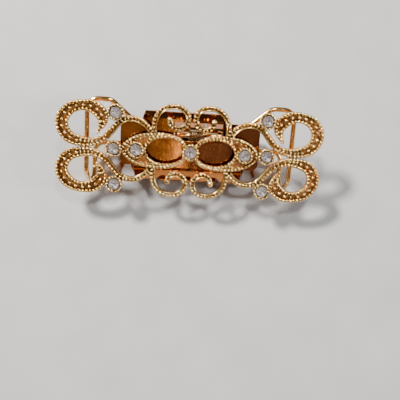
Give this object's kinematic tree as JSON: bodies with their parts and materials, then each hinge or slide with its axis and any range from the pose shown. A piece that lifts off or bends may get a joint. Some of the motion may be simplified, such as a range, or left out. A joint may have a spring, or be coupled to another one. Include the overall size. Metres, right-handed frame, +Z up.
{
  "type": "alligator hair clip",
  "caption": "Spring-closed metal hair clip: a gold filigree ornament set with round clear stones on a toothed jaw that pivots on a pin against a rear jaw with wire side arms.",
  "frame": {"origin": "centre of the bottom of the bounding box, on the surface that the closed clip lies on", "axes": "+X along the clip to the wearer's right in the view from its face, +Y from its toothed front edge to its thumb tabs, +Z up"},
  "size_m": [0.082, 0.0296, 0.023],
  "materials": {
    "filigree_gold": "polished gold plating, darker in the recesses",
    "jaw_gold": "bright copper-toned gold plating on sheet",
    "wire_gold": "polished gold plating on round wire",
    "spring_steel": "drawn spring wire",
    "crystal": "faceted and foil backed"
  },
  "bodies": {
    "rear": {"rear_jaw": "jaw_gold", "rear_arm_left": "wire_gold", "rear_arm_right": "wire_gold", "hinge_pin": "wire_gold", "torsion_spring": "spring_steel"},
    "front": {"end_loop_back_left": "filigree_gold", "end_loop_back_right": "filigree_gold", "end_loop_front_left": "filigree_gold", "end_loop_front_right": "filigree_gold", "side_arc_back_left": "filigree_gold", "side_arc_back_right": "filigree_gold", "side_arc_front_left": "filigree_gold", "side_arc_front_right": "filigree_gold", "scroll_back_left": "filigree_gold", "scroll_back_right": "filigree_gold", "scroll_front_left": "filigree_gold", "scroll_front_right": "filigree_gold", "eye_left": "filigree_gold", "eye_right": "filigree_gold", "stone_cup_back_left": "filigree_gold", "stone_cup_back_right": "filigree_gold", "stone_cup_front_left": "filigree_gold", "stone_cup_front_right": "filigree_gold", "stone_cup_left": "filigree_gold", "stone_cup_right": "filigree_gold", "stone_cup_inner_left": "filigree_gold", "stone_cup_inner_right": "filigree_gold", "stone_cup_centre": "filigree_gold", "rhinestone_back_left": "crystal", "rhinestone_back_right": "crystal", "rhinestone_front_left": "crystal", "rhinestone_front_right": "crystal", "rhinestone_left": "crystal", "rhinestone_right": "crystal", "rhinestone_inner_left": "crystal", "rhinestone_inner_right": "crystal", "rhinestone_centre": "crystal", "solder_posts": "jaw_gold", "front_jaw": "jaw_gold", "front_arm_left": "wire_gold", "front_arm_right": "wire_gold"}
  },
  "joints": [
    {"name": "jaw_hinge", "type": "hinge", "parent": "rear", "child": "front", "pos_m": [0.0023, 0.00525, 0.01189], "axis": [-1, 0, 0], "range_deg": [0, 45], "stiffness_Nm_per_rad": 0.05, "springref_deg": -57.3, "deforming": ["torsion_spring"]}
  ]
}
